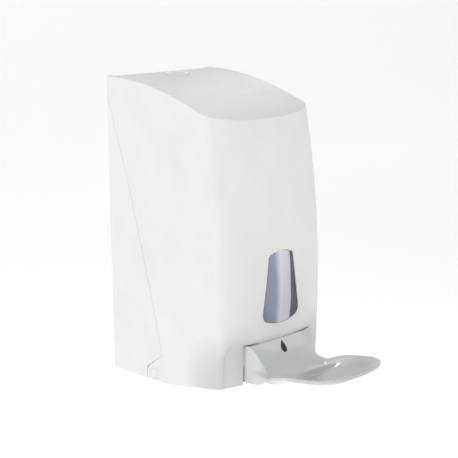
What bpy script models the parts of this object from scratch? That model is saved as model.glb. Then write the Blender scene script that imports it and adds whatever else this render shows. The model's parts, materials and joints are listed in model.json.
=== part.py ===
"""Wall mounted soap dispenser: a hinged cover, a push lever, a refillable reservoir and a hand pump.

Frame: origin at the centre of the backplate's rear face, which lies on the wall. +Y points into the wall,
the front faces -Y, +Z is up and +X is to the right of someone facing the front. Lengths are metres. Side
outlines are written as (y, height) with the height above the dispenser's bottom edge, and up() turns a
height into z.
"""

import bmesh
import bpy
from math import cos, pi, radians, sin, sqrt
from mathutils import Matrix, Vector

# ---- driving dimensions --------------------------------------------------------------------------
WIDTH = 0.130
HEIGHT = 0.280
WALL = 0.0026  # casing thickness
GAP = 0.00035  # between pieces that face each other
SIDE_GAP = 0.0008  # between the lever and the opening it swings in

# casing shape: the side outline is made of three curves, and the front also bows forward across its width
TOP_DROP = 1.6  # the top falls by this times y squared
FRONT_REACH = 0.1468  # how far the front stands out at the casing's sides, at its fullest height
FRONT_FULLEST = 0.097  # the height where it is fullest
FRONT_LEAN_ABOVE = 0.69
FRONT_LEAN_BELOW = 0.48
FRONT_BOW = 0.0125  # extra reach at the middle of the front
LOWER_BOW = 0.0040  # added to the bow at the bottom edge
LOWER_BOW_START = 0.060
BOW_POWER = 3.0
CORNER_RADIUS = 0.005  # upright front corners
BOTTOM_FLAT = 0.0769  # the bottom edge is level this far out, then rises
BOTTOM_RISE = 0.164
CRISP_EDGE = 0.0012

# hinge of the front cover, and the seam between the cover and the backplate's cheeks
HINGE_Y = -0.058
HINGE_HEIGHT = 0.0065
HINGE_PIN_RADIUS = 0.0025
HINGE_HEAD_RADIUS = 0.0048
HINGE_HEAD_LENGTH = 0.0012
EAR_RADIUS = 0.0093
SEAM_TOP = (0.0, 0.2625)
SEAM_FOOT = (-0.0695, 0.0262)
SEAM_BOW = 0.0032
NOTCH = (-0.0482, 0.0117)

# screws
WALL_SCREW_RADIUS = 0.00275
BRACKET_SCREW_RADIUS = 0.0015

# lever
LEVER_HALF_WIDTH = 0.0415
LEVER_AXIS_Y = -0.141
LEVER_AXIS_HEIGHT = 0.0445
LEVER_TOP = 0.0487
OPENING_TOP = 0.0493  # top edge of the opening in the cover that the lever fills
LEVER_PIN_RADIUS = 0.0020
CHEEK_THICKNESS = 0.0036
FACE_THICKNESS = 0.0030
TRAY_THICKNESS = 0.0042
TRAY_ROOT_Y = -0.177
TRAY_EDGE_START = -0.1785  # where the tray's rim leaves the lever's flanks
TRAY_STRAIGHT_END = -0.2207
TRAY_TIP = -0.2505
TRAY_SQUARENESS = 2.9
TRAY_DISH = 0.0055
OVERLAP = 0.0004  # how far one shape is pushed into the next before they are joined
# half the face's width, from its top edge (0) down to the tray (1), where it flares out
FACE_HALF_WIDTH = [
    (0.0, 0.0410), (0.1, 0.0378), (0.2, 0.0366), (0.4, 0.0342), (0.6, 0.0332), (0.8, 0.0350), (1.0, 0.0400)
]
# how far the face's side edges stand in front of its middle, from the top edge down
FACE_SIDE_LIP = [
    (0.0, 0.0), (0.06, 0.0024), (0.15, 0.0040), (0.3, 0.0028), (0.5, 0.0012), (0.7, 0.0), (1.0, 0.0)
]
# the rim's height against how far out it is from the tray's root
RIM_RISE = [
    (0.0, 0.0240), (0.0135, 0.0292), (0.024, 0.0320), (0.039, 0.0348), (0.0584, 0.0372), (0.080, 0.0380)
]
# half the tray's width against how far out it is
TRAY_FLARE = [(0.0, 0.0395), (0.006, 0.0420), (0.014, 0.0437), (0.024, 0.0446), (0.080, 0.0447)]

# pump, on an axis along Y
PUMP_HEIGHT = 0.024
BARREL_RADIUS = 0.009
BORE_RADIUS = 0.0068
BARREL_FRONT = -0.116
BARREL_BACK = -0.060
INLET_Y = -0.076
OUTLET_Y = -0.094
PLUNGER_FACE = -0.1275
SPRING_SEAT_RADIUS = 0.0125

# reservoir
TANK_HALF_WIDTH = 0.054
TANK_FRONT = -0.132
TANK_BACK = -0.011
TANK_BOTTOM = 0.0698
TANK_TOP = 0.190
TANK_WALL = 0.0020
MOUTH_HALF_WIDTH = 0.036
MOUTH_FRONT = -0.076
MOUTH_BACK = -0.032
LID_AXIS_Y = -0.022
LID_AXIS_HEIGHT = 0.1957
LID_PIN_RADIUS = 0.0015
RIM_TOP = 0.193
TANK_NECK_RADIUS = 0.008
TANK_NECK_END = 0.057

# lock in the cover's top
LOCK_Y = -0.025
BARREL_TOP = 0.2802
LOCK_BARREL_RADIUS = 0.0071
BEZEL_RADIUS = 0.0112

HALF_WIDTH = WIDTH / 2
BOTTOM_Z = -HEIGHT / 2


# ---- materials -----------------------------------------------------------------------------------
def material(name, colour, roughness, metallic=0.0, alpha=1.0):
    made = bpy.data.materials.new(name)
    made.use_nodes = True
    shader = made.node_tree.nodes["Principled BSDF"]
    shader.inputs["Base Color"].default_value = (*colour, 1.0)
    shader.inputs["Roughness"].default_value = roughness
    shader.inputs["Metallic"].default_value = metallic
    shader.inputs["Alpha"].default_value = alpha
    return made


# ---- shape helpers -------------------------------------------------------------------------------
def up(height):
    return BOTTOM_Z + height


def to_object(name, mesh_data, finish):
    mesh = bpy.data.meshes.new(name)
    bmesh.ops.recalc_face_normals(mesh_data, faces=mesh_data.faces[:])
    mesh_data.to_mesh(mesh)
    mesh_data.free()
    made = bpy.data.objects.new(name, mesh)
    bpy.context.scene.collection.objects.link(made)
    if finish is not None:
        mesh.materials.append(finish)
    return made


def prism_x(name, outline, x_from, x_to, finish=None):
    """Extrudes an outline of (y, height) points along X."""
    shape = bmesh.new()
    face = shape.faces.new([shape.verts.new((x_from, y, up(h))) for y, h in outline])
    grown = bmesh.ops.extrude_face_region(shape, geom=[face])
    moved = [v for v in grown["geom"] if isinstance(v, bmesh.types.BMVert)]
    bmesh.ops.translate(shape, verts=moved, vec=(x_to - x_from, 0, 0))
    return to_object(name, shape, finish)


def prism_y(name, outline, y_from, y_to, finish=None):
    """Extrudes an outline of (x, height) points along Y."""
    shape = bmesh.new()
    face = shape.faces.new([shape.verts.new((x, y_from, up(h))) for x, h in outline])
    grown = bmesh.ops.extrude_face_region(shape, geom=[face])
    moved = [v for v in grown["geom"] if isinstance(v, bmesh.types.BMVert)]
    bmesh.ops.translate(shape, verts=moved, vec=(0, y_to - y_from, 0))
    return to_object(name, shape, finish)


def prism_z(name, outline, low, high, finish=None):
    """Extrudes an outline of (x, y) points upwards between two heights."""
    shape = bmesh.new()
    face = shape.faces.new([shape.verts.new((x, y, up(low))) for x, y in outline])
    grown = bmesh.ops.extrude_face_region(shape, geom=[face])
    moved = [v for v in grown["geom"] if isinstance(v, bmesh.types.BMVert)]
    bmesh.ops.translate(shape, verts=moved, vec=(0, 0, high - low))
    return to_object(name, shape, finish)


def block(name, x, y, height, finish=None):
    """A box between pairs of limits."""
    outline = [(x[0], y[0]), (x[1], y[0]), (x[1], y[1]), (x[0], y[1])]
    return prism_z(name, outline, height[0], height[1], finish)


def rod(name, radius, start, end, sides=32, finish=None):
    """A cylinder between two (x, y, height) points."""
    first = Vector((start[0], start[1], up(start[2])))
    last = Vector((end[0], end[1], up(end[2])))
    along = last - first
    turn = along.to_track_quat("Z", "Y").to_matrix().to_4x4()
    shape = bmesh.new()
    placed = Matrix.Translation((first + last) / 2) @ turn
    size = {"radius1": radius, "radius2": radius, "depth": along.length}
    bmesh.ops.create_cone(shape, cap_ends=True, segments=sides, matrix=placed, **size)
    return to_object(name, shape, finish)


def combine(target, helper, operation):
    """Joins or cuts target with helper, then removes helper."""
    change = target.modifiers.new("change", "BOOLEAN")
    change.operation = operation
    change.solver = "EXACT"
    change.object = helper
    bpy.context.view_layer.update()
    evaluated = target.evaluated_get(bpy.context.evaluated_depsgraph_get())
    result = bpy.data.meshes.new_from_object(evaluated)
    target.modifiers.clear()
    target.data = result
    bpy.data.objects.remove(helper, do_unlink=True)
    return target


def join(target, *helpers):
    for helper in helpers:
        combine(target, helper, "UNION")
    return target


def cut(target, *helpers):
    for helper in helpers:
        combine(target, helper, "DIFFERENCE")
    return target


def arc(centre, radius, start_degrees, end_degrees, steps):
    """Points on a circle in a 2-D outline, both ends included."""
    turn = end_degrees - start_degrees
    angles = [radians(start_degrees + turn * i / steps) for i in range(steps + 1)]
    return [(centre[0] + radius * cos(a), centre[1] + radius * sin(a)) for a in angles]


def bowed(start, end, sag, steps):
    """Points from start up to, not including, end, on a shallow curve that stands sag to the left."""
    dx, dy = end[0] - start[0], end[1] - start[1]
    length = sqrt(dx * dx + dy * dy)
    points = []
    for i in range(steps):
        t = i / steps
        out = 4 * sag * t * (1 - t)
        points.append((start[0] + dx * t - dy / length * out, start[1] + dy * t + dx / length * out))
    return points


def rounded_box(x, y, radius, steps=4):
    """An (x, y) rectangle with round corners."""
    outline = []
    for cx, cy, start in (
        (x[1] - radius, y[1] - radius, 0),
        (x[0] + radius, y[1] - radius, 90),
        (x[0] + radius, y[0] + radius, 180),
        (x[1] - radius, y[0] + radius, 270),
    ):
        outline += arc((cx, cy), radius, start, start + 90, steps)
    return outline


def turned(name, profile, axis_x, axis_y, sides=32, finish=None):
    """Turns a closed (radius, height) profile about an upright axis."""
    shape = bmesh.new()
    rings = []
    for i in range(sides):
        angle = 2 * pi * i / sides
        across, along = cos(angle), sin(angle)
        places = [(axis_x + r * across, axis_y + r * along, up(h)) for r, h in profile]
        rings.append([shape.verts.new(place) for place in places])
    for i in range(sides):
        here, there = rings[i], rings[(i + 1) % sides]
        for j in range(len(profile)):
            k = (j + 1) % len(profile)
            shape.faces.new((here[j], there[j], there[k], here[k]))
    return to_object(name, shape, finish)


# ---- casing surfaces -----------------------------------------------------------------------------
def top_height(y):
    return HEIGHT - TOP_DROP * y * y


def bottom_height(y):
    return max(0.0, (-y - BOTTOM_FLAT) * BOTTOM_RISE)


def front_y(x, height, half_width, corner):
    """The front surface's y, for a casing of that half width and corner radius."""
    away = height - FRONT_FULLEST
    lean = (FRONT_LEAN_ABOVE if away > 0 else FRONT_LEAN_BELOW) * away * away
    low = max(0.0, 1 - height / LOWER_BOW_START)
    bow = FRONT_BOW + LOWER_BOW * low
    reach = FRONT_REACH - lean + bow * (1 - abs(x / HALF_WIDTH) ** BOW_POWER)
    into_corner = abs(x) - (half_width - corner)
    if into_corner > 0:
        reach -= corner - sqrt(max(0.0, corner * corner - into_corner * into_corner))
    return -reach


def casing(name, inset, back_y, finish=None):
    """The closed casing shape, moved inwards by inset, from the front to back_y."""
    half_width = HALF_WIDTH - inset
    corner = max(CORNER_RADIUS - inset, 0.0015)
    flat_half = half_width - corner
    right = [flat_half * t for t in (0, 0.17, 0.34, 0.50, 0.64, 0.76, 0.86, 0.94, 1.0)]
    right += [flat_half + corner * sin(radians(a)) for a in (22.5, 45, 67.5, 90)]
    columns = [-x for x in reversed(right[1:])] + right
    front_steps, top_steps = 14, 9

    def meet(x, height, surface):
        for _ in range(12):
            y = front_y(x, height, half_width, corner) + inset
            height = surface(y)
        return y, height

    def ceiling(y):
        return top_height(y) - inset

    def floor(y):
        return bottom_height(y) + inset

    shape = bmesh.new()
    loops = []
    for x in columns:
        low_y, low_h = meet(x, 0.012, floor)
        high_y, high_h = meet(x, 0.250, ceiling)
        outline = [(back_y, inset), (-BOTTOM_FLAT, inset)]
        for i in range(front_steps + 1):
            h = low_h + (high_h - low_h) * i / front_steps
            outline.append((front_y(x, h, half_width, corner) + inset, h))
        for i in range(1, top_steps + 1):
            y = high_y + (back_y - high_y) * i / top_steps
            outline.append((y, ceiling(min(y, 0.0))))
        loops.append([shape.verts.new((x, y, up(h))) for y, h in outline])
    for here, there in zip(loops, loops[1:]):
        for j in range(len(here)):
            k = (j + 1) % len(here)
            shape.faces.new((here[j], there[j], there[k], here[k]))
    shape.faces.new(loops[0])
    shape.faces.new(list(reversed(loops[-1])))
    return to_object(name, shape, finish)


def seam(offset):
    """The seam from its foot to its top, moved forward by offset."""
    steps = 10
    line = bowed(SEAM_FOOT, SEAM_TOP, SEAM_BOW, steps) + [SEAM_TOP]
    return [(y - offset, h) for y, h in line]


def cheek_outline():
    """The part of the casing's sides that stays on the wall."""
    return [(0, 0), (NOTCH[0], 0), NOTCH] + seam(0)


def behind_the_seam():
    """Everything that the cover leaves to the backplate, with the ear round the hinge pin left out."""
    foot_angle = 55.8
    drop_angle = -70
    ear = arc((HINGE_Y, HINGE_HEIGHT), EAR_RADIUS, drop_angle, foot_angle, 12)
    back = 0.01
    top = SEAM_TOP[1] + GAP
    return [(back, -back)] + ear + seam(GAP) + [(SEAM_TOP[0] - GAP, top), (back, top)]


# ---- parts on the wall ---------------------------------------------------------------------------
def make_backplate(finish):
    plate = 0.003
    inner = HALF_WIDTH - WALL - 0.0002
    tongue_half = 0.0614
    full_width_top = 0.252  # above this the cover's sides come back to the wall
    body = block("backplate", (-HALF_WIDTH, HALF_WIDTH), (-plate, 0), (0, full_width_top), finish)
    join(body, block("tongue", (-tongue_half, tongue_half), (-plate, 0), (0.250, 0.2755)))
    for side in (-1, 1):
        x = sorted((side * inner, side * HALF_WIDTH))
        join(body, prism_x("cheek", cheek_outline(), x[0], x[1]))
        # lug that carries the hinge pin, stiffened against the cheek
        lug = arc((HINGE_Y, HINGE_HEIGHT), HINGE_HEIGHT, -90, -270, 12)
        lug += [(-0.034, 0.013), (-0.010, 0.040), (-0.001, 0.040), (-0.001, 0)]
        x = sorted((side * 0.0574, side * 0.0618))
        join(body, prism_x("lug", lug, x[0], x[1]))
        x = sorted((side * 0.0600, side * 0.0630))
        join(body, block("gusset", x, (-0.046, -0.001), (0.0005, 0.0125)))
        for rib_x in (0.022, 0.050):
            centre = side * rib_x
            join(body, block("rib", (centre - 0.00125, centre + 0.00125), (-0.007, -0.002), (0.096, 0.250)))
        hole_radius = HINGE_PIN_RADIUS + GAP
        ends = (side * 0.055, HINGE_Y, HINGE_HEIGHT), (side * 0.0625, HINGE_Y, HINGE_HEIGHT)
        cut(body, rod("pin_hole", hole_radius, *ends, sides=24))
    # four wall screw holes with raised bosses
    for x, h in wall_screw_places():
        join(body, rod("boss", 0.0065, (x, -0.0055, h), (x, -0.001, h), sides=24))
    for x, h in wall_screw_places():
        cut(body, rod("screw_hole", WALL_SCREW_RADIUS, (x, -0.010, h), (x, 0.010, h), sides=24))
    for x, h in bracket_screw_places():
        cut(body, rod("bracket_hole", BRACKET_SCREW_RADIUS + GAP, (x, -0.010, h), (x, 0.010, h), sides=16))
    return body


def wall_screw_places():
    return [(x, h) for x in (-0.036, 0.036) for h in (0.030, 0.236)]


def bracket_screw_places():
    return [(x, h) for x in (-0.027, 0.027) for h in (0.060, 0.079)]


def make_lock_catch(finish):
    """Catch that the lock's hook turns behind, riveted flat against the backplate."""
    half, front, flange = 0.006, -0.014, (-0.0053, -0.0033)
    body = block("lock_catch", (-half, half), flange, (0.2470, 0.2585), finish)
    join(body, block("plate", (-half, half), (front, flange[0] + 0.001), (0.2565, 0.2585)))
    return join(body, block("lip", (-half, half), (front, front + 0.0020), (0.2570, 0.2645)))


def make_pump_bracket(finish):
    half = 0.034
    shelf_low, shelf_high = 0.0660, 0.0694
    flange = (-0.0063, -0.0033)
    body = block("pump_bracket", (-half, half), flange, (0.055, 0.084), finish)
    join(body, block("shelf", (-half, half), (-0.126, flange[1] - 0.0005), (shelf_low, shelf_high)))
    for side in (-1, 1):
        x = sorted((side * (half - 0.0025), side * half))
        brace = [(flange[1] - 0.001, 0.0555), (flange[1] - 0.001, 0.067), (-0.110, 0.067), (-0.110, 0.0645)]
        join(body, prism_x("brace", brace, x[0], x[1]))
    neck_clearance = 0.0090
    cut(body, rod("neck_hole", neck_clearance, (0, INLET_Y, 0.050), (0, INLET_Y, 0.080)))
    for x, h in bracket_screw_places():
        cut(body, rod("screw_hole", BRACKET_SCREW_RADIUS + GAP, (x, -0.020, h), (x, 0.010, h), sides=16))
    return body


def make_bracket_screws(finish):
    for number, (x, h) in enumerate(bracket_screw_places(), 1):
        head_back, head_front = -0.0066, -0.0088
        body = rod(f"bracket_screw_{number}", 0.0031, (x, head_front, h), (x, head_back, h), 20, finish)
        join(body, rod("shank", BRACKET_SCREW_RADIUS, (x, head_back - 0.001, h), (x, -0.0008, h), sides=16))
        for across in ((0.0022, 0.0004), (0.0004, 0.0022)):
            y = (head_front - 0.001, head_front + 0.0010)
            height = (h - across[1], h + across[1])
            cut(body, block("drive", (x - across[0], x + across[0]), y, height))


def make_hinge_pin(side, name, finish):
    head_face = side * HALF_WIDTH
    head_root = side * (HALF_WIDTH - HINGE_HEAD_LENGTH)
    start = (head_face, HINGE_Y, HINGE_HEIGHT)
    body = rod(name, HINGE_HEAD_RADIUS, start, (head_root, HINGE_Y, HINGE_HEIGHT), 40, finish)
    shank_start = (side * (HALF_WIDTH - 0.0005), HINGE_Y, HINGE_HEIGHT)
    join(body, rod("shank", HINGE_PIN_RADIUS, shank_start, (side * 0.0572, HINGE_Y, HINGE_HEIGHT), sides=24))
    return body


# ---- reservoir -----------------------------------------------------------------------------------
def make_reservoir(finish):
    half = TANK_HALF_WIDTH
    outer = rounded_box((-half, half), (TANK_FRONT, TANK_BACK), 0.007)
    inner = rounded_box(
        (-half + TANK_WALL, half - TANK_WALL), (TANK_FRONT + TANK_WALL, TANK_BACK - TANK_WALL), 0.005
    )
    body = prism_z("reservoir", outer, TANK_BOTTOM, TANK_TOP, finish)
    cut(body, prism_z("inside", inner, TANK_BOTTOM + TANK_WALL, TANK_TOP - TANK_WALL))
    rim = rounded_box((-0.039, 0.039), (MOUTH_FRONT - 0.003, MOUTH_BACK + 0.003), 0.006)
    join(body, prism_z("rim", rim, TANK_TOP - 0.001, RIM_TOP))
    mouth = rounded_box((-MOUTH_HALF_WIDTH, MOUTH_HALF_WIDTH), (MOUTH_FRONT, MOUTH_BACK), 0.004)
    cut(body, prism_z("mouth", mouth, TANK_TOP - 0.010, RIM_TOP + 0.010))
    # neck to the pump
    join(body, rod("neck", TANK_NECK_RADIUS, (0, INLET_Y, TANK_NECK_END), (0, INLET_Y, TANK_BOTTOM + 0.001)))
    bore_radius = 0.005
    cut(body, rod("outlet", bore_radius, (0, INLET_Y, 0.050), (0, INLET_Y, TANK_BOTTOM + 0.010), sides=24))
    # lugs for the lid's hinge pin
    for side in (-1, 1):
        lug = arc((LID_AXIS_Y, LID_AXIS_HEIGHT), 0.0035, 0, 180, 8)
        lug += [(LID_AXIS_Y - 0.0035, TANK_TOP - 0.001), (LID_AXIS_Y + 0.0035, TANK_TOP - 0.001)]
        x = sorted((side * 0.0200, side * 0.0240))
        join(body, prism_x("lug", lug, x[0], x[1]))
    start = (-0.030, LID_AXIS_Y, LID_AXIS_HEIGHT)
    cut(body, rod("pin_hole", LID_PIN_RADIUS + GAP, start, (0.030, LID_AXIS_Y, LID_AXIS_HEIGHT), sides=20))
    return body


def make_lid(finish):
    low, high = 0.1944, 0.1970
    body = prism_z("reservoir_lid", rounded_box((-0.042, 0.042), (-0.082, -0.0265), 0.007), low, high, finish)
    knuckle_half = 0.0194
    ends = (-knuckle_half, LID_AXIS_Y, LID_AXIS_HEIGHT), (knuckle_half, LID_AXIS_Y, LID_AXIS_HEIGHT)
    join(body, rod("knuckle", 0.0032, *ends, sides=24))
    join(body, block("web", (-knuckle_half, knuckle_half), (-0.028, LID_AXIS_Y), (low, high)))
    # finger tab at the front edge
    join(body, block("tab", (-0.012, 0.012), (-0.0825, -0.0805), (low, high + 0.0025)))
    cut(body, rod("pin_hole", LID_PIN_RADIUS + GAP, (-0.030, *ends[0][1:]), (0.030, *ends[0][1:]), sides=20))
    return body


def make_lid_seal(finish):
    low, high = RIM_TOP + 0.0003, 0.1941
    outer = rounded_box((-0.0387, 0.0387), (-0.0787, -0.0293), 0.005)
    inner = rounded_box((-0.0362, 0.0362), (-0.0762, -0.0318), 0.004)
    body = prism_z("lid_seal", outer, low, high, finish)
    return cut(body, prism_z("open", inner, low - 0.001, high + 0.001))


def make_lid_pin(finish):
    start = (-0.0244, LID_AXIS_Y, LID_AXIS_HEIGHT)
    return rod("lid_hinge_pin", LID_PIN_RADIUS, start, (0.0244, LID_AXIS_Y, LID_AXIS_HEIGHT), 16, finish)


# ---- pump ----------------------------------------------------------------------------------------
def on_pump_axis(y):
    return (0, y, PUMP_HEIGHT)


def make_pump_body(finish):
    neck_top, flange = 0.0555, (0.0500, 0.0530)
    body = rod("pump_body", BARREL_RADIUS, on_pump_axis(BARREL_FRONT), on_pump_axis(BARREL_BACK), 32, finish)
    join(body, rod("spring_seat", SPRING_SEAT_RADIUS, on_pump_axis(-0.1020), on_pump_axis(-0.1000)))
    join(body, rod("inlet_neck", 0.0078, (0, INLET_Y, PUMP_HEIGHT), (0, INLET_Y, neck_top)))
    join(body, rod("flange", 0.0110, (0, INLET_Y, flange[0]), (0, INLET_Y, flange[1])))
    join(body, rod("outlet_boss", 0.0058, (0, OUTLET_Y, 0.0090), (0, OUTLET_Y, PUMP_HEIGHT), sides=24))
    closed_end = 0.004
    cut(body, rod("bore", BORE_RADIUS, on_pump_axis(-0.130), on_pump_axis(BARREL_BACK - closed_end)))
    cut(body, rod("inlet", 0.0030, (0, INLET_Y, PUMP_HEIGHT), (0, INLET_Y, 0.060), sides=20))
    cut(body, rod("outlet", 0.0024, (0, OUTLET_Y, 0.0), (0, OUTLET_Y, PUMP_HEIGHT), sides=20))
    cut(body, rod("socket", 0.0043, (0, OUTLET_Y, 0.0), (0, OUTLET_Y, 0.0138), sides=24))
    return body


def make_collar_nut(finish):
    low, high = 0.0534, 0.0656
    flutes = 24
    outline = []
    for i in range(2 * flutes):
        radius = 0.0130 if i % 2 else 0.0122
        angle = pi * i / flutes
        outline.append((radius * cos(angle), INLET_Y + radius * sin(angle)))
    body = prism_z("pump_collar_nut", outline, low, high, finish)
    return cut(body, rod("thread", 0.0084, (0, INLET_Y, low - 0.001), (0, INLET_Y, high + 0.001)))


def make_inlet_seal(finish):
    profile = [(0.0046, 0.0558), (0.0076, 0.0558), (0.0076, 0.0567), (0.0046, 0.0567)]
    return turned("inlet_seal", profile, 0, INLET_Y, 28, finish)


def make_nozzle(finish):
    profile = [(0.0018, 0.0030), (0.0028, 0.0030), (0.0039, 0.0065), (0.0039, 0.0134), (0.0018, 0.0134)]
    return turned("pump_nozzle", profile, 0, OUTLET_Y, 24, finish)


def make_ball(name, y, height, radius, finish):
    shape = bmesh.new()
    place = Matrix.Translation((0, y, up(height)))
    bmesh.ops.create_icosphere(shape, subdivisions=2, radius=radius, matrix=place)
    return to_object(name, shape, finish)


def make_plunger(finish):
    head_back = PLUNGER_FACE + 0.0030
    body = rod("pump_plunger", 0.0122, on_pump_axis(PLUNGER_FACE), on_pump_axis(head_back), 32, finish)
    join(body, rod("rod", 0.0045, on_pump_axis(PLUNGER_FACE + 0.001), on_pump_axis(-0.1080), sides=24))
    join(body, rod("piston", 0.0064, on_pump_axis(-0.1120), on_pump_axis(-0.1070)))
    groove = rod("groove", 0.0090, on_pump_axis(-0.1107), on_pump_axis(-0.1083))
    cut(groove, rod("groove_core", 0.0048, on_pump_axis(-0.1120), on_pump_axis(-0.1070), sides=24))
    return cut(body, groove)


def make_plunger_seal(finish):
    body = rod("plunger_seal", 0.0066, on_pump_axis(-0.1104), on_pump_axis(-0.1086), 32, finish)
    return cut(body, rod("hole", 0.0051, on_pump_axis(-0.1120), on_pump_axis(-0.1070), sides=24))


def make_spring(finish):
    """A coil round the barrel, between its seat and the plunger's head."""
    turns, per_turn, coil_radius, wire_radius = 5, 20, 0.0110, 0.0006
    start, end = -0.1236, -0.1029
    curve = bpy.data.curves.new("pump_spring", "CURVE")
    curve.dimensions = "3D"
    curve.bevel_depth = wire_radius
    curve.bevel_resolution = 1
    curve.use_fill_caps = True
    spline = curve.splines.new("POLY")
    count = turns * per_turn + 1
    spline.points.add(count - 1)
    for i, point in enumerate(spline.points):
        angle = 2 * pi * i / per_turn
        y = start + (end - start) * i / (count - 1)
        point.co = (coil_radius * cos(angle), y, up(PUMP_HEIGHT) + coil_radius * sin(angle), 1)
    made = bpy.data.objects.new("pump_spring", curve)
    bpy.context.scene.collection.objects.link(made)
    curve.materials.append(finish)
    return made


# ---- cover ---------------------------------------------------------------------------------------
def window_outline(grow):
    """The sight window: a tall taper with an arched top and a soft lower edge, as (x, height)."""
    low_half, high_half = 0.0246 + grow, 0.0150 + grow
    low, high = 0.0660 - grow, 0.1275 + grow
    corner = 0.0055
    steps = 8
    slope = (low_half - high_half) / (high - low)
    right_low = (low_half - slope * corner, low + corner)
    right_high = (high_half + slope * corner, high - corner * 0.6)
    outline = bowed((-low_half + corner, low), (low_half - corner, low), -0.0032, steps)
    outline += bowed((low_half - corner, low), right_low, -0.0020, 5)
    outline += [right_low]
    outline += bowed(right_high, (high_half - corner * 0.5, high), -0.0008, 3)
    outline += bowed((high_half - corner * 0.5, high), (-high_half + corner * 0.5, high), -0.0025, steps)
    outline += bowed((-high_half + corner * 0.5, high), (-right_high[0], right_high[1]), -0.0008, 3)
    outline += [(-right_high[0], right_high[1])]
    outline += bowed((-right_low[0], right_low[1]), (-low_half + corner, low), -0.0020, 5)
    return outline


def make_front_cover(finish):
    body = casing("front_cover", 0.0, -0.0005, finish)
    edge = body.modifiers.new("edge", "BEVEL")
    edge.width = CRISP_EDGE
    edge.segments = 2
    edge.limit_method = "ANGLE"
    edge.angle_limit = radians(38)
    cut(body, casing("hollow", WALL, 0.010))
    # lugs for the lever's pins, cast onto the inside of the front wall
    for side in (-1, 1):
        x = sorted((side * (LEVER_HALF_WIDTH + 0.0016), side * (LEVER_HALF_WIDTH + 0.0056)))
        lug = arc((LEVER_AXIS_Y, LEVER_AXIS_HEIGHT), 0.0050, -90, 90, 8)
        lug += [(-0.1535, 0.0600), (-0.1535, 0.0395)]
        join(body, prism_x("lug", lug, x[0], x[1]))
    # thick pad under the top for the lock
    join(body, rod("lock_pad", 0.0135, (0, LOCK_Y, 0.2712), (0, LOCK_Y, 0.2775), sides=32))
    cut(body, prism_x("rear", behind_the_seam(), -0.100, 0.100))
    # the lever's opening, and the open underside behind it
    opening_half = LEVER_HALF_WIDTH + SIDE_GAP
    cut(body, block("lever_opening", (-opening_half, opening_half), (-0.175, -0.070), (-0.010, OPENING_TOP)))
    inside_half = HALF_WIDTH - WALL
    cut(body, block("underside", (-inside_half, inside_half), (-0.072, -0.040), (-0.010, 0.020)))
    cut(body, prism_y("window", window_outline(0), -0.200, -0.130))
    for side in (-1, 1):
        ends = (side * 0.050, HINGE_Y, HINGE_HEIGHT), (side * 0.070, HINGE_Y, HINGE_HEIGHT)
        cut(body, rod("ear_hole", HINGE_PIN_RADIUS + GAP, *ends, sides=24))
        seat = side * (HALF_WIDTH - HINGE_HEAD_LENGTH - 0.0003), HINGE_Y, HINGE_HEIGHT
        cut(body, rod("head_seat", HINGE_HEAD_RADIUS + GAP, seat, ends[1], sides=40))
        start = (side * 0.040, LEVER_AXIS_Y, LEVER_AXIS_HEIGHT)
        cut(body, rod("lever_pin_hole", LEVER_PIN_RADIUS + GAP, start, (side * 0.050, *start[1:]), sides=20))
    cut(body, rod("lock_seat", BEZEL_RADIUS + GAP, (0, LOCK_Y, 0.2768), (0, LOCK_Y, 0.2900), sides=40))
    cut(body, rod("lock_hole", LOCK_BARREL_RADIUS + GAP, (0, LOCK_Y, 0.2600), (0, LOCK_Y, 0.2900), sides=36))
    return body


def window_shell(name, inset_from, inset_to, outline, finish=None):
    """The layer of the casing between two depths, within an outline on its front."""
    shell = casing(name, inset_from, 0.0, finish)
    combine(shell, prism_y("outline", outline, -0.200, -0.130), "INTERSECT")
    return cut(shell, casing("inside", inset_to, 0.010))


def make_window(finish):
    return window_shell("sight_window", 0.0002, 0.0024, window_outline(-GAP), finish)


def make_window_frame(finish):
    body = window_shell("window_frame", WALL + 0.0003, WALL + 0.0022, window_outline(0.0045), finish)
    return cut(body, prism_y("open", window_outline(-0.0020), -0.200, -0.130))


# ---- lever ---------------------------------------------------------------------------------------
def blend_between(table, t):
    """Reads a smooth curve through (t, value) rows."""
    last = len(table) - 1
    here = max(i for i in range(last) if table[i][0] <= t or i == 0)
    before, after, end = max(here - 1, 0), here + 1, min(here + 2, last)
    p0, p1, p2, p3 = (table[i][1] for i in (before, here, after, end))
    u = (t - table[here][0]) / (table[after][0] - table[here][0])
    bend = (2 * p0 - 5 * p1 + 4 * p2 - p3) * u * u + (3 * p1 - p0 - 3 * p2 + p3) * u**3
    return p1 + 0.5 * ((p2 - p0) * u + bend)


def tray_half_width(y):
    furthest = TRAY_FLARE[-1][0]
    return blend_between(TRAY_FLARE, min(max(TRAY_EDGE_START - y, 0.0), furthest))


def rim_height(y):
    """The tray's rim rises from its root and levels off towards the tip."""
    furthest = RIM_RISE[-1][0]
    return blend_between(RIM_RISE, min(max(TRAY_ROOT_Y - y, 0.0), furthest))


def tray_height(share, y):
    """The tray's top: a raised rim round a dish. share is of the half width."""
    past = max(0.0, (TRAY_STRAIGHT_END - y) / (TRAY_STRAIGHT_END - TRAY_TIP))
    total = abs(share) ** TRAY_SQUARENESS + past**TRAY_SQUARENESS
    edge = min(1.0, total ** (1 / TRAY_SQUARENESS))
    return rim_height(y) - TRAY_DISH * (1 - edge**5)


def tray_end(share):
    reach = max(0.0, 1 - abs(share) ** TRAY_SQUARENESS) ** (1 / TRAY_SQUARENESS)
    return TRAY_STRAIGHT_END + (TRAY_TIP - TRAY_STRAIGHT_END) * reach


def face_foot(share):
    """Where the lever's face meets the tray: a shallow curve, furthest out at the middle."""
    return -0.192 + 0.0135 * share * share


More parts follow.
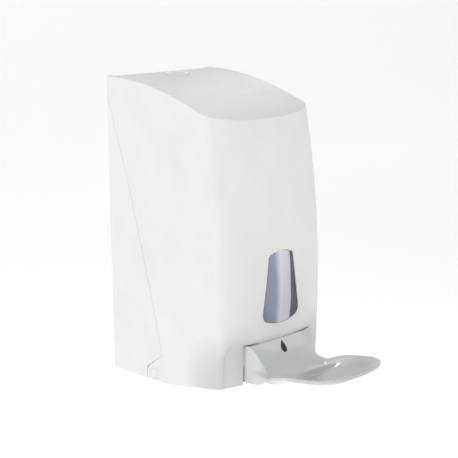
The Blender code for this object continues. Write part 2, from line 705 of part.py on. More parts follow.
def lever_profile(share):
    """The upper surface at one share of the half width, from the top edge down the face to the tray's tip."""
    face_steps, tray_steps = 12, 10
    top = (front_y(share * FACE_HALF_WIDTH[0][1], LEVER_TOP, HALF_WIDTH, CORNER_RADIUS), LEVER_TOP)
    foot = (face_foot(share), tray_height(share, face_foot(share)))
    hollow = (-0.1640 - 0.0070 * share * share, 0.0270)
    points = []
    for i in range(face_steps + 1):
        s = i / face_steps
        a, b, c = (1 - s) ** 2, 2 * s * (1 - s), s * s
        y, h = (a * top[k] + b * hollow[k] + c * foot[k] for k in (0, 1))
        lip = blend_between(FACE_SIDE_LIP, s) * share**4
        points.append((share * blend_between(FACE_HALF_WIDTH, s), y - lip, h))
    end = tray_end(share)
    for i in range(1, tray_steps + 1):
        y = foot[0] + (end - foot[0]) * i / tray_steps
        points.append((share * tray_half_width(y), y, tray_height(share, y)))
    return points, face_steps


def thickened(points, face_count):
    """Adds the underside to a profile, at the face's thickness above and the tray's thickness below."""
    under = []
    last = len(points) - 1
    for i, (x, y, h) in enumerate(points):
        before, after = points[max(i - 1, 0)], points[min(i + 1, last)]
        along_y, along_h = after[1] - before[1], after[2] - before[2]
        length = sqrt(along_y * along_y + along_h * along_h)
        portion = min(1.0, i / face_count)
        thick = FACE_THICKNESS + (TRAY_THICKNESS - FACE_THICKNESS) * portion
        under.append((x, y - along_h / length * thick, h + along_y / length * thick))
    return points + list(reversed(under))


def loft(name, loops, finish=None):
    """A closed body through loops that have the same number of (x, y, height) points."""
    shape = bmesh.new()
    rings = [[shape.verts.new((x, y, up(h))) for x, y, h in loop] for loop in loops]
    for here, there in zip(rings, rings[1:]):
        for j in range(len(here)):
            k = (j + 1) % len(here)
            shape.faces.new((here[j], there[j], there[k], here[k]))
    shape.faces.new(rings[0])
    shape.faces.new(list(reversed(rings[-1])))
    return to_object(name, shape, finish)


def flank(side):
    """The convex shoulder between the face's side edge and the opening in the cover."""
    profile, face_count = lever_profile(1.0)
    crest = profile[: face_count + 1]
    crest += [(0.0412, -0.1790, 0.0240), (0.0412, -0.1765, 0.0205)]
    crest += [(0.0410, -0.1680, 0.0172), (0.0408, -0.1580, 0.0162)]
    outer_x, back_y, root_y, steps = LEVER_HALF_WIDTH, -0.1500, -0.1430, 5
    top, bottom = 0.0484, 0.0162
    loops = []
    for number, (x, y, h) in enumerate(crest):
        back_h = top + (bottom - top) * (number / (len(crest) - 1)) ** 0.85
        shoulder = (x + 0.70 * (outer_x - x), y + 0.30 * (back_y - y), (h + back_h) / 2)
        ends = (x - 3 * OVERLAP, y + 2 * OVERLAP, h - OVERLAP), (outer_x, back_y, back_h)
        loop = []
        for i in range(steps + 1):
            u = i / steps
            a, b, c = (1 - u) ** 2, 2 * u * (1 - u), u * u
            loop.append(tuple(a * p + b * q + c * r for p, q, r in zip(ends[0], shoulder, ends[1])))
        loop += [(outer_x, root_y, back_h), (outer_x - CHEEK_THICKNESS, root_y, back_h)]
        loop += [(x - FACE_THICKNESS, y + 0.0035, h - 0.0005)]
        loops.append([(side * px, py, ph) for px, py, ph in loop])
    return loft("flank", loops)


def make_lever(finish):
    columns_per_side = 12
    right = [sin(pi / 2 * i / columns_per_side) for i in range(columns_per_side + 1)]
    columns = [-share for share in reversed(right[1:])] + right
    body = loft("push_lever", [thickened(*lever_profile(share)) for share in columns], finish)
    ear = [(-0.1520, 0.0480), (-0.1520, 0.0300), (-0.1435, 0.0265)]
    ear += arc((LEVER_AXIS_Y, LEVER_AXIS_HEIGHT), 0.0040, -20, 90, 7)
    for side in (-1, 1):
        join(body, flank(side))
        x = sorted((side * (LEVER_HALF_WIDTH - CHEEK_THICKNESS), side * (LEVER_HALF_WIDTH - 0.0001)))
        join(body, prism_x("ear", ear, x[0], x[1]))
    web = [(-0.1585, 0.0410), (-0.1615, 0.0370), (-0.1680, 0.0304), (-0.1745, 0.0265), (-0.1805, 0.0232)]
    web += [(-0.1720, 0.0190), (-0.1500, 0.0175), (-0.1346, 0.0185), (-0.1346, 0.0295), (-0.1460, 0.0340)]
    web_half = 0.0016
    join(body, prism_x("web", web, -web_half, web_half))
    pad_half = 0.0065
    join(body, block("pad_seat", (-pad_half, pad_half), (-0.1370, -0.1346), (0.0183, 0.0297)))
    for side in (-1, 1):
        start = (side * 0.030, LEVER_AXIS_Y, LEVER_AXIS_HEIGHT)
        cut(body, rod("pin_hole", LEVER_PIN_RADIUS + GAP, start, (side * 0.045, *start[1:]), sides=20))
    return body


def make_push_pad(finish):
    centre, radius, half = (-0.135, PUMP_HEIGHT), 0.0070, 0.0065
    nose = arc(centre, radius, -55, 55, 12)
    outline = nose + [(-0.1343, nose[-1][1]), (-0.1343, nose[0][1])]
    return prism_x("push_pad", outline, -half, half, finish)


def make_lever_pin(side, name, finish):
    start = (side * 0.0380, LEVER_AXIS_Y, LEVER_AXIS_HEIGHT)
    return rod(name, LEVER_PIN_RADIUS, start, (side * 0.0475, *start[1:]), 16, finish)


# ---- lock ----------------------------------------------------------------------------------------
def make_lock_bezel(finish):
    inner = LOCK_BARREL_RADIUS + GAP
    profile = [(inner, 0.2771), (BEZEL_RADIUS, 0.2771), (BEZEL_RADIUS, 0.2797), (0.0098, 0.2806), (inner, 0.2806)]
    return turned("lock_bezel", profile, 0, LOCK_Y, 40, finish)


def make_lock_barrel(finish):
    body = rod("lock_barrel", LOCK_BARREL_RADIUS, (0, LOCK_Y, 0.2700), (0, LOCK_Y, BARREL_TOP), 36, finish)
    join(body, rod("stem", 0.0035, (0, LOCK_Y, 0.2655), (0, LOCK_Y, 0.2705), sides=24))
    key = (BARREL_TOP - 0.0030, BARREL_TOP + 0.001)
    cut(body, block("key_slot", (-0.0040, 0.0040), (LOCK_Y - 0.0008, LOCK_Y + 0.0008), key))
    cut(body, rod("screw_hole", 0.0014, (0, LOCK_Y, 0.2640), (0, LOCK_Y, 0.2695), sides=16))
    return body


def make_lock_cam(finish):
    low, high = 0.2660, 0.2684
    body = rod("lock_cam", 0.0062, (0, LOCK_Y, low), (0, LOCK_Y, high), 28, finish)
    join(body, block("arm", (0, 0.0178), (LOCK_Y - 0.0032, LOCK_Y + 0.0032), (low, high)))
    join(body, block("hook", (0.0148, 0.0178), (LOCK_Y - 0.0022, LOCK_Y + 0.0022), (0.2602, high)))
    return cut(body, rod("stem_hole", 0.0038, (0, LOCK_Y, low - 0.001), (0, LOCK_Y, high + 0.001), sides=24))


def make_cam_screw(finish):
    body = rod("lock_cam_screw", 0.0046, (0, LOCK_Y, 0.2636), (0, LOCK_Y, 0.2652), 24, finish)
    join(body, rod("shank", 0.0011, (0, LOCK_Y, 0.2645), (0, LOCK_Y, 0.2690), sides=12))
    return cut(body, block("drive", (-0.0030, 0.0030), (LOCK_Y - 0.0005, LOCK_Y + 0.0005), (0.2630, 0.2642)))


# ---- joints --------------------------------------------------------------------------------------
def set_origin(made, place):
    """Moves a piece's origin to its joint's axis without moving the piece."""
    made.data.transform(Matrix.Translation(-Vector(place)))
    made.location = place


def build():
    for old in list(bpy.data.objects):
        bpy.data.objects.remove(old, do_unlink=True)
    casing_white = material("casing_white", (0.80, 0.82, 0.82), 0.35)
    lever_grey = material("lever_grey", (0.56, 0.58, 0.60), 0.30)
    smoke = material("smoke_window", (0.20, 0.23, 0.28), 0.12, alpha=0.55)
    frosted = material("frosted_tank", (0.78, 0.80, 0.78), 0.40, alpha=0.6)
    pump_white = material("pump_white", (0.70, 0.71, 0.70), 0.40)
    rubber = material("black_rubber", (0.04, 0.04, 0.04), 0.70)
    steel = material("steel", (0.62, 0.63, 0.64), 0.30, metallic=1.0)
    chrome = material("lock_chrome", (0.72, 0.72, 0.70), 0.22, metallic=1.0)

    make_backplate(casing_white)
    make_lock_catch(steel)
    make_pump_bracket(pump_white)
    make_bracket_screws(steel)
    for side, word in ((-1, "left"), (1, "right")):
        make_hinge_pin(side, f"cover_hinge_pin_{word}", casing_white)
        make_lever_pin(side, f"lever_pin_{word}", steel)

    make_reservoir(frosted)
    lid_axis = (0, LID_AXIS_Y, up(LID_AXIS_HEIGHT))
    set_origin(make_lid(pump_white), lid_axis)
    set_origin(make_lid_seal(rubber), lid_axis)
    make_lid_pin(steel)

    make_pump_body(pump_white)
    make_collar_nut(pump_white)
    make_inlet_seal(rubber)
    make_nozzle(pump_white)
    make_ball("inlet_ball", INLET_Y, 0.0440, 0.0022, steel)
    make_ball("outlet_ball", OUTLET_Y, 0.0162, 0.0017, steel)
    make_plunger(pump_white)
    make_plunger_seal(rubber)
    make_spring(steel)

    cover_axis = (0, HINGE_Y, up(HINGE_HEIGHT))
    set_origin(make_front_cover(casing_white), cover_axis)
    make_window(smoke)
    make_window_frame(rubber)

    lever_axis = (0, LEVER_AXIS_Y, up(LEVER_AXIS_HEIGHT))
    set_origin(make_lever(lever_grey), lever_axis)
    set_origin(make_push_pad(pump_white), lever_axis)

    lock_axis = (0, LOCK_Y, up(BARREL_TOP))
    make_lock_bezel(chrome)
    set_origin(make_lock_barrel(chrome), lock_axis)
    set_origin(make_lock_cam(steel), lock_axis)
    set_origin(make_cam_screw(steel), lock_axis)

    for made in bpy.data.objects:
        if made.type == "MESH":
            made.data.shade_smooth()
            made.data.set_sharp_from_angle(angle=radians(32))


build()
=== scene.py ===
"""Looks for the wall mounted soap dispenser: finer shells, materials, floor, lights and camera.

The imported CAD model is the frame. Lengths are metres. Heights are above the dispenser's bottom edge, and up()
turns a height into z, as in the CAD source, whose surface formulas are repeated here for the finer pieces.
"""

import bmesh
import bpy
import json
from math import atan2, cos, exp, hypot, pi, radians, sin, sqrt, tan
from mathutils import Matrix, Quaternion, Vector


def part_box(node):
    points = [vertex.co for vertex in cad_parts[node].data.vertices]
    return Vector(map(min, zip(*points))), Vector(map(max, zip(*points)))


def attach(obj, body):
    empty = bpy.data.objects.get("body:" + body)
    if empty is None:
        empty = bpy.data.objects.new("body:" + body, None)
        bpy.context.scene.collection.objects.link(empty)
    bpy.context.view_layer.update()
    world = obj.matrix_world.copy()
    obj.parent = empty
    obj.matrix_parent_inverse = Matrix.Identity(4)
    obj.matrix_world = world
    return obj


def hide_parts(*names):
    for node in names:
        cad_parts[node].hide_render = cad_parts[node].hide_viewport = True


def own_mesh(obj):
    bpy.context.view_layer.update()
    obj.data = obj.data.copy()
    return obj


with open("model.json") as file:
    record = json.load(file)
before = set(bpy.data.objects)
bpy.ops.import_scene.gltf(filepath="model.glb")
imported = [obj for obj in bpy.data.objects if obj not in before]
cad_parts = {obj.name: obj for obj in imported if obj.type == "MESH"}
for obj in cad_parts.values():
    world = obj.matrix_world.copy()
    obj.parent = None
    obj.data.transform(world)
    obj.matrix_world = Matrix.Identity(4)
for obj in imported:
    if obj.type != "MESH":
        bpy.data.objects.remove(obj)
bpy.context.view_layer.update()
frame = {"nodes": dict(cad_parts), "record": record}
nodes = frame["nodes"]

# ---- driving dimensions, read from the frame where it states them ------------------------------------------
COVER_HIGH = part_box("front_cover")[1]
BOTTOM_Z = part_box("backplate")[0].z
HALF_WIDTH = COVER_HIGH.x
HEIGHT = COVER_HIGH.z - BOTTOM_Z
WALL = 0.0026
GAP = 0.00035
SIDE_GAP = 0.0008

TOP_DROP = 1.6
FRONT_REACH = 0.1468
FRONT_FULLEST = 0.097
FRONT_LEAN_ABOVE = 0.69
FRONT_LEAN_BELOW = 0.48
FRONT_BOW = 0.0125
LOWER_BOW = 0.0040
LOWER_BOW_START = 0.060
BOW_POWER = 3.0
CORNER_RADIUS = 0.005
EDGE_RADIUS = 0.0013  # along the top edge
LOW_EDGE_SHARE = 0.8  # the bottom edge is rounded a little less than the top one
SMALLEST_CORNER = 0.0015  # the hollow's front corners are never tighter than this
BOTTOM_FLAT = 0.0769
BOTTOM_RISE = 0.164

HINGE_Y, HINGE_HEIGHT = -0.058, 0.0065
HINGE_PIN_RADIUS = 0.0025
HINGE_HEAD_RADIUS = 0.0048
HINGE_HEAD_LENGTH = 0.0012
EAR_RADIUS = 0.0093
SEAM_TOP = (0.0, 0.2625)
SEAM_FOOT = (-0.0695, 0.0262)
SEAM_BOW = 0.0032

LOCK_Y = -0.025
BEZEL_RADIUS = 0.0112
LOCK_BARREL_RADIUS = 0.0071
LOCK_PAD_RADIUS = 0.0135
LOCK_PAD_HEIGHTS = (0.2712, 0.2765)
LOCK_SEAT_HEIGHTS = (0.2768, 0.2900)
LOCK_HOLE_HEIGHTS = (0.2600, 0.2900)

WINDOW_LOW, WINDOW_HIGH = 0.0660, 0.1275
WINDOW_LOW_HALF, WINDOW_HIGH_HALF = 0.0246, 0.0150
WINDOW_LOW_CORNER, WINDOW_CORNER = 0.0080, 0.0055
WINDOW_LOW_SAG, WINDOW_LOW_CORNER_SAG = -0.0030, -0.0019
WINDOW_ARCH_SAG, WINDOW_CORNER_SAG = -0.0025, -0.0010
LENS_CENTRE_HEIGHT = 0.095
LENS_CROWN = 0.0022
LENS_SUNK = 0.0006
LENS_THICKNESS = 0.0018

LEVER_HALF_WIDTH = 0.0415
LEVER_AXIS = (-0.141, 0.0445)
LEVER_TOP = 0.0487
OPENING_TOP = 0.0493
OPENING_EXTRA = 0.0005  # added to the gap on each side of the lever
LUG_NEAR, LUG_FAR = 0.0016, 0.0056  # distances of a cover lug's two faces from the lever's side
LUG_RADIUS = 0.0050
LUG_FRONT = [(-0.1530, 0.0600), (-0.1530, 0.0395)]
LEVER_PIN_RADIUS = 0.0020
FACE_THICKNESS = 0.0030
TRAY_THICKNESS = 0.0042
TRAY_ROOT_Y = -0.177
TRAY_STRAIGHT_END = -0.2207
TRAY_TIP = -0.2524
TRAY_SQUARENESS = 2.9
TRAY_DISH = 0.0060
TRAY_BELLY = 0.0064
RIM_THICKNESS = 0.0033

# shallow shapes that only the finer cover has
RECESS_DEPTH = 0.0019  # dished recess on either side of the lever
RECESS_OUTER = 0.0622
RECESS_TOP = 0.0520
RECESS_CORNER = 0.0120
RECESS_SOFT = 0.0035
CREASE_Y = -0.0265  # the strip behind this crease sits a little lower
CREASE_DROP = 0.0010
CREASE_WIDTH = 0.0030
CREASE_END = 0.0035  # how far from the cover's sides the crease has faded out
CREASE_FADE = 0.0070


def up(height):
    return BOTTOM_Z + height


# ---- mesh helpers ------------------------------------------------------------------------------------------
def to_object(name, shape):
    mesh = bpy.data.meshes.new(name)
    bmesh.ops.recalc_face_normals(shape, faces=shape.faces[:])
    shape.to_mesh(mesh)
    shape.free()
    made = bpy.data.objects.new(name, mesh)
    bpy.context.scene.collection.objects.link(made)
    return made


def extruded(name, corners, offset):
    """A prism: a flat outline of 3-D corners, moved along offset."""
    shape = bmesh.new()
    face = shape.faces.new([shape.verts.new(p) for p in corners])
    grown = bmesh.ops.extrude_face_region(shape, geom=[face])
    moved = [v for v in grown["geom"] if isinstance(v, bmesh.types.BMVert)]
    bmesh.ops.translate(shape, verts=moved, vec=offset)
    return to_object(name, shape)


def bridge(shape, here, there):
    """Joins two closed loops of vertices with a band of faces."""
    for j in range(len(here)):
        k = (j + 1) % len(here)
        shape.faces.new((here[j], there[j], there[k], here[k]))


def loft(name, loops):
    """A closed body through loops of the same number of (x, y, height) points."""
    shape = bmesh.new()
    rings = [[shape.verts.new((x, y, up(h))) for x, y, h in loop] for loop in loops]
    for here, there in zip(rings, rings[1:]):
        bridge(shape, here, there)
    shape.faces.new(rings[0])
    shape.faces.new(list(reversed(rings[-1])))
    return to_object(name, shape)


def prism_x(name, outline, x_from, x_to):
    return extruded(name, [(x_from, y, up(h)) for y, h in outline], (x_to - x_from, 0, 0))


def prism_y(name, outline, y_from, y_to):
    return extruded(name, [(x, y_from, up(h)) for x, h in outline], (0, y_to - y_from, 0))


def block(name, x, y, height):
    outline = [(y[0], height[0]), (y[1], height[0]), (y[1], height[1]), (y[0], height[1])]
    return prism_x(name, outline, x[0], x[1])


def rod(name, radius, start, end, sides=48):
    """A cylinder between two (x, y, height) points."""
    first = Vector((start[0], start[1], up(start[2])))
    last = Vector((end[0], end[1], up(end[2])))
    along = last - first
    turn = along.to_track_quat("Z", "Y").to_matrix().to_4x4()
    shape = bmesh.new()
    placed = Matrix.Translation((first + last) / 2) @ turn
    bmesh.ops.create_cone(
        shape, cap_ends=True, segments=sides, radius1=radius, radius2=radius,
        depth=along.length, matrix=placed,
    )
    return to_object(name, shape)


def apply_modifiers(target):
    bpy.context.view_layer.update()
    evaluated = target.evaluated_get(bpy.context.evaluated_depsgraph_get())
    result = bpy.data.meshes.new_from_object(evaluated)
    target.modifiers.clear()
    target.data = result
    return target


def combine(target, helper, operation):
    """Applies a boolean with a helper body and removes the helper."""
    change = target.modifiers.new("change", "BOOLEAN")
    change.operation = operation
    change.solver = "MANIFOLD"
    change.object = helper
    apply_modifiers(target)
    bpy.data.objects.remove(helper, do_unlink=True)
    return target


def join(target, *helpers):
    for helper in helpers:
        combine(target, helper, "UNION")
    return target


def cut(target, *helpers):
    for helper in helpers:
        combine(target, helper, "DIFFERENCE")
    return target


def shade(target, degrees=40):
    target.data.shade_smooth()
    target.data.set_sharp_from_angle(angle=radians(degrees))
    return target


def arc(centre, radius, start_degrees, end_degrees, steps):
    turn = end_degrees - start_degrees
    angles = [radians(start_degrees + turn * i / steps) for i in range(steps + 1)]
    return [(centre[0] + radius * cos(a), centre[1] + radius * sin(a)) for a in angles]


def bowed(start, end, sag, steps):
    """Points from start up to, not including, end, on a shallow curve that stands sag to its left."""
    dx, dy = end[0] - start[0], end[1] - start[1]
    length = hypot(dx, dy)
    points = []
    for i in range(steps):
        t = i / steps
        out = 4 * sag * t * (1 - t)
        points.append((start[0] + dx * t - dy / length * out, start[1] + dy * t + dx / length * out))
    return points


def curve_weights(u):
    """Weights of the start, the guide and the end of a simple curve, u of the way along it."""
    return (1 - u) ** 2, 2 * u * (1 - u), u * u


def smooth_step(t):
    t = min(1.0, max(0.0, t))
    return t * t * (3 - 2 * t)


def fillet(before, corner, after, radius, steps):
    """The arc that rounds a corner between two lines of an outline."""
    corner = Vector(corner)
    back, on = (Vector(before) - corner).normalized(), (Vector(after) - corner).normalized()
    half = back.angle(on) / 2
    centre = corner + (back + on).normalized() * radius / sin(half)
    start = corner + back * radius / tan(half) - centre
    end = corner + on * radius / tan(half) - centre
    first = atan2(start.y, start.x)
    turn = (atan2(end.y, end.x) - first + pi) % (2 * pi) - pi
    angles = [first + turn * i / steps for i in range(steps + 1)]
    return [(centre.x + radius * cos(a), centre.y + radius * sin(a)) for a in angles]


# ---- casing surfaces ---------------------------------------------------------------------------------------
def rounding(distance_in, radius):
    """How far a surface falls back, distance_in past the start of a round edge."""
    inside = min(max(distance_in, 0.0), radius)
    return radius - sqrt(radius * radius - inside * inside)


def top_height(x, y, half_width, edge, detailed):
    fall = rounding(abs(x) - (half_width - edge), edge)
    if detailed:
        behind = smooth_step((y - CREASE_Y) / CREASE_WIDTH)
        across = smooth_step((half_width - CREASE_END - abs(x)) / CREASE_FADE)
        fall += CREASE_DROP * behind * across
    return HEIGHT - TOP_DROP * y * y - fall


def bottom_height(x, y, half_width, edge):
    rise = max(0.0, (-y - BOTTOM_FLAT) * BOTTOM_RISE)
    return rise + rounding(abs(x) - (half_width - edge), edge)


def recess(x, height):
    """Depth of the dish beside the lever: full inside a round-cornered outline, fading at its edge."""
    over_x = abs(x) - (RECESS_OUTER - RECESS_CORNER)
    over_h = height - (RECESS_TOP - RECESS_CORNER)
    reach = hypot(max(over_x, 0.0), max(over_h, 0.0))
    return RECESS_DEPTH * smooth_step((RECESS_CORNER - reach) / RECESS_SOFT)


def front_y(x, height, half_width=HALF_WIDTH, corner=CORNER_RADIUS, detailed=False):
    away = height - FRONT_FULLEST
    lean = (FRONT_LEAN_ABOVE if away > 0 else FRONT_LEAN_BELOW) * away * away
    low = max(0.0, 1 - height / LOWER_BOW_START)
    bow = FRONT_BOW + LOWER_BOW * low
    reach = FRONT_REACH - lean + bow * (1 - abs(x / HALF_WIDTH) ** BOW_POWER)
    reach -= rounding(abs(x) - (half_width - corner), corner)
    if detailed:
        reach -= recess(x, height)
    return -reach


# the lines where the front meets the bottom and the top are searched from these heights
LOW_GUESS, HIGH_GUESS = 0.012, 0.250
SEARCH_STEPS = 14
BESIDE_EDGE = 0.002  # distance of the outline points next to a rounded edge
LOW_EDGE_STEPS, TOP_EDGE_STEPS = 5, 6


def casing(name, inset, back_y, detailed, steps):
    """The closed casing, moved inwards by inset, with its edges rounded."""
    flat_steps, corner_steps, front_steps, top_steps = steps
    half_width = HALF_WIDTH - inset
    corner = max(CORNER_RADIUS - inset, SMALLEST_CORNER)
    edge = EDGE_RADIUS
    flat_half = half_width - corner
    right = [flat_half * i / flat_steps for i in range(flat_steps + 1)]
    right += [flat_half + corner * sin(pi / 2 * (i + 1) / corner_steps) for i in range(corner_steps)]
    columns = [-x for x in reversed(right[1:])] + right

    def front(x, h):
        return front_y(x, h, half_width, corner, detailed) + inset

    def ceiling(x, y):
        return top_height(x, y, half_width, edge, detailed) - inset

    def floor(x, y):
        return bottom_height(x, y, half_width, edge) + inset

    def meet(x, height, surface):
        for _ in range(SEARCH_STEPS):
            y = front(x, height)
            height = surface(x, y)
        return y, height

    loops = []
    near = BESIDE_EDGE
    for x in columns:
        low, high = meet(x, LOW_GUESS, floor), meet(x, HIGH_GUESS, ceiling)
        above = (front(x, low[1] + near), low[1] + near)
        below = (front(x, high[1] - near), high[1] - near)
        inward = (low[0] + near, floor(x, low[0] + near))
        back = (high[0] + near, ceiling(x, high[0] + near))
        outline = [(back_y, floor(x, 0)), (-BOTTOM_FLAT, floor(x, 0))]
        outline += fillet(inward, low, above, edge * LOW_EDGE_SHARE, LOW_EDGE_STEPS)
        for i in range(1, front_steps):
            h = above[1] + (below[1] - above[1]) * i / front_steps
            outline.append((front(x, h), h))
        outline += fillet(below, high, back, edge, TOP_EDGE_STEPS)
        for i in range(top_steps + 1):
            y = back[0] + (back_y - back[0]) * i / top_steps
            outline.append((y, ceiling(x, min(y, 0.0))))
        loops.append([(x, y, h) for y, h in outline])
    return loft(name, loops)


def seam(offset, steps=40):
    line = bowed(SEAM_FOOT, SEAM_TOP, SEAM_BOW, steps) + [SEAM_TOP]
    return [(y - offset, h) for y, h in line]


def behind_the_seam():
    """Everything that the cover leaves to the backplate, with the ear round the hinge pin left out."""
    ear = arc((HINGE_Y, HINGE_HEIGHT), EAR_RADIUS, -70, 55.8, 36)
    back = 0.01
    top = SEAM_TOP[1] + GAP
    return [(back, -back)] + ear + seam(GAP) + [(SEAM_TOP[0] - GAP, top), (back, top)]


# ---- cover -------------------------------------------------------------------------------------------------
def window_outline(grow):
    """The sight window: a tall taper with an arched top and a soft lower edge, as (x, height)."""
    edge_steps, low_steps, high_steps = 32, 16, 12
    low_half, high_half = WINDOW_LOW_HALF + grow, WINDOW_HIGH_HALF + grow
    low, high = WINDOW_LOW - grow, WINDOW_HIGH + grow
    corner, low_corner = WINDOW_CORNER, WINDOW_LOW_CORNER
    slope = (low_half - high_half) / (high - low)
    low_end, high_end = low_half - low_corner, high_half - corner * 0.5
    low_side = (low_half - slope * low_corner, low + low_corner)
    high_side = (high_half + slope * corner, high - corner * 0.6)
    left_high, left_low = (-high_side[0], high_side[1]), (-low_side[0], low_side[1])
    outline = bowed((-low_end, low), (low_end, low), WINDOW_LOW_SAG, edge_steps)
    outline += bowed((low_end, low), low_side, WINDOW_LOW_CORNER_SAG, low_steps) + [low_side]
    outline += bowed(high_side, (high_end, high), WINDOW_CORNER_SAG, high_steps)
    outline += bowed((high_end, high), (-high_end, high), WINDOW_ARCH_SAG, edge_steps)
    outline += bowed((-high_end, high), left_high, WINDOW_CORNER_SAG, high_steps) + [left_high]
    return outline + bowed(left_low, (-low_end, low), WINDOW_LOW_CORNER_SAG, low_steps)


def lock_rod(name, radius, heights, sides=48):
    """An upright cylinder on the lock's axis."""
    return rod(name, radius, (0, LOCK_Y, heights[0]), (0, LOCK_Y, heights[1]), sides)


def add_lugs(body):
    """The lugs that carry the lever's pins, and the thicker pad below the lock."""
    for side in (-1, 1):
        x = sorted((side * (LEVER_HALF_WIDTH + LUG_NEAR), side * (LEVER_HALF_WIDTH + LUG_FAR)))
        join(body, prism_x("lug", arc(LEVER_AXIS, LUG_RADIUS, -90, 90, 20) + LUG_FRONT, x[0], x[1]))
    join(body, lock_rod("lock_pad", LOCK_PAD_RADIUS, LOCK_PAD_HEIGHTS))


def cut_openings(body):
    """Cuts away the rear, the lever's opening, the way to the underside and the window."""
    cut(body, prism_x("rear", behind_the_seam(), -0.100, 0.100))
    opening_half = LEVER_HALF_WIDTH + SIDE_GAP + OPENING_EXTRA
    cut(body, block("opening", (-opening_half, opening_half), (-0.175, -0.070), (-0.010, OPENING_TOP)))
    inside_half = HALF_WIDTH - WALL
    cut(body, block("underside", (-inside_half, inside_half), (-0.072, -0.040), (-0.010, 0.020)))
    cut(body, prism_y("window", window_outline(0), -0.200, -0.130))


def cut_holes(body):
    """Drills the holes for the hinge pins, the lever's pins and the lock."""
    axis = (HINGE_Y, HINGE_HEIGHT)
    for side in (-1, 1):
        hole = HINGE_PIN_RADIUS + GAP
        cut(body, rod("ear_hole", hole, (side * 0.050, *axis), (side * 0.070, *axis)))
        seat_x = side * (HALF_WIDTH - HINGE_HEAD_LENGTH - 0.0003)
        cut(body, rod("head_seat", HINGE_HEAD_RADIUS + GAP, (seat_x, *axis), (side * 0.070, *axis), 64))
        hole = LEVER_PIN_RADIUS + GAP
        cut(body, rod("pin_hole", hole, (side * 0.040, *LEVER_AXIS), (side * 0.050, *LEVER_AXIS)))
    cut(body, lock_rod("lock_seat", BEZEL_RADIUS + GAP, LOCK_SEAT_HEIGHTS, 80))
    cut(body, lock_rod("lock_hole", LOCK_BARREL_RADIUS + GAP, LOCK_HOLE_HEIGHTS, 64))


def make_cover():
    body = casing("cover_shell", 0.0, -0.0005, True, (44, 12, 120, 64))
    cut(body, casing("hollow", WALL, 0.010, False, (24, 4, 50, 30)))
    add_lugs(body)
    cut_openings(body)
    cut_holes(body)
    soften_edges(body, 0.00030, 2, 50)
    shade(body, 45)
    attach(body, "cover")
    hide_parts("front_cover")
    return body


def soften_edges(target, width, segments, degrees):
    """Rounds the crisp edges that cutting left."""
    weld = target.modifiers.new("weld", "WELD")
    weld.merge_threshold = 0.00004
    edge = target.modifiers.new("edge", "BEVEL")
    edge.width = width
    edge.segments = segments
    edge.limit_method = "ANGLE"
    edge.angle_limit = radians(degrees)
    edge.use_clamp_overlap = True
    return apply_modifiers(target)


def make_lens():
    """The sight window's lens: it crowns across its width, and its edge sits a little behind the cover's face.
    """
    outline = window_outline(-GAP)
    centre_h = LENS_CENTRE_HEIGHT
    rings = 14
    shape = bmesh.new()

    def surface(x, h, share, depth):
        bulge = LENS_CROWN * (1 - share ** 2)
        return front_y(x, h) + LENS_SUNK + depth - bulge

    def layer(depth):
        loops = []
        for i in range(1, rings + 1):
            share = sin(pi / 2 * i / rings)
            loop = []
            for x, h in outline:
                px, ph = x * share, centre_h + (h - centre_h) * share
                loop.append(shape.verts.new((px, surface(px, ph, share, depth), up(ph))))
            loops.append(loop)
        middle = shape.verts.new((0, surface(0, centre_h, 0, depth), up(centre_h)))
        for inner, outer in zip(loops, loops[1:]):
            bridge(shape, inner, outer)
        for j in range(len(outline)):
            shape.faces.new((middle, loops[0][j], loops[0][(j + 1) % len(outline)]))
        return loops[-1]

    front_edge, back_edge = layer(0.0), layer(LENS_THICKNESS)
    bridge(shape, front_edge, back_edge)
    body = shade(to_object("window_lens", shape), 50)
    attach(body, "cover")
    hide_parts("sight_window")
    return body


# ---- lever -------------------------------------------------------------------------------------------------
def blend_between(table, t):
    """Reads a smooth curve through (t, value) rows."""
    last = len(table) - 1
    here = max(i for i in range(last) if table[i][0] <= t or i == 0)
    before, after, end = max(here - 1, 0), here + 1, min(here + 2, last)
    p0, p1, p2, p3 = (table[i][1] for i in (before, here, after, end))
    u = (t - table[here][0]) / (table[after][0] - table[here][0])
    bend = (2 * p0 - 5 * p1 + 4 * p2 - p3) * u * u + (3 * p1 - p0 - 3 * p2 + p3) * u**3
    return p1 + 0.5 * ((p2 - p0) * u + bend)


# half the face's width, from its top edge (0) down to the tray (1), where it flares out
FACE_HALF_WIDTH = [
    (0.0, 0.0410), (0.1, 0.0378), (0.2, 0.0366), (0.4, 0.0342), (0.6, 0.0332), (0.8, 0.0350), (1.0, 0.0400)
]
# how far the face's side edges stand in front of its middle, from the top edge down
FACE_SIDE_LIP = [
    (0.0, 0.0), (0.06, 0.0024), (0.15, 0.0040), (0.3, 0.0028), (0.5, 0.0012), (0.7, 0.0), (1.0, 0.0)
]
# the rim's height against how far out it is from the tray's root
RIM_RISE = [
    (0.0, 0.0240), (0.0135, 0.0292), (0.024, 0.0320), (0.039, 0.0348), (0.0584, 0.0372), (0.080, 0.0380)
]
# half the tray's width against how far out it is
TRAY_FLARE = [(0.0, 0.0395), (0.006, 0.0420), (0.014, 0.0437), (0.024, 0.0446), (0.080, 0.0447)]
FLARE_START_Y = -0.1785
# the face meets the tray here, further back towards its sides
FACE_FOOT_Y, FACE_FOOT_BOW = -0.192, 0.0135
# the point that pulls the face's curve inwards
HOLLOW_Y, HOLLOW_BOW, HOLLOW_HEIGHT = -0.1640, 0.0070, 0.0270
# soft ridge and valley across the tray, next to its root
ROLL_Y, ROLL_HEIGHT, ROLL_WIDTH = -0.1968, 0.0030, 0.0040
VALLEY_Y, VALLEY_DEPTH = -0.2065, 0.0014
ROLL_SPREAD = 0.90  # share of the tray's width that they take up
FACE_STEPS, TRAY_STEPS = 34, 40
BELLY_BLEND_STEPS = 8


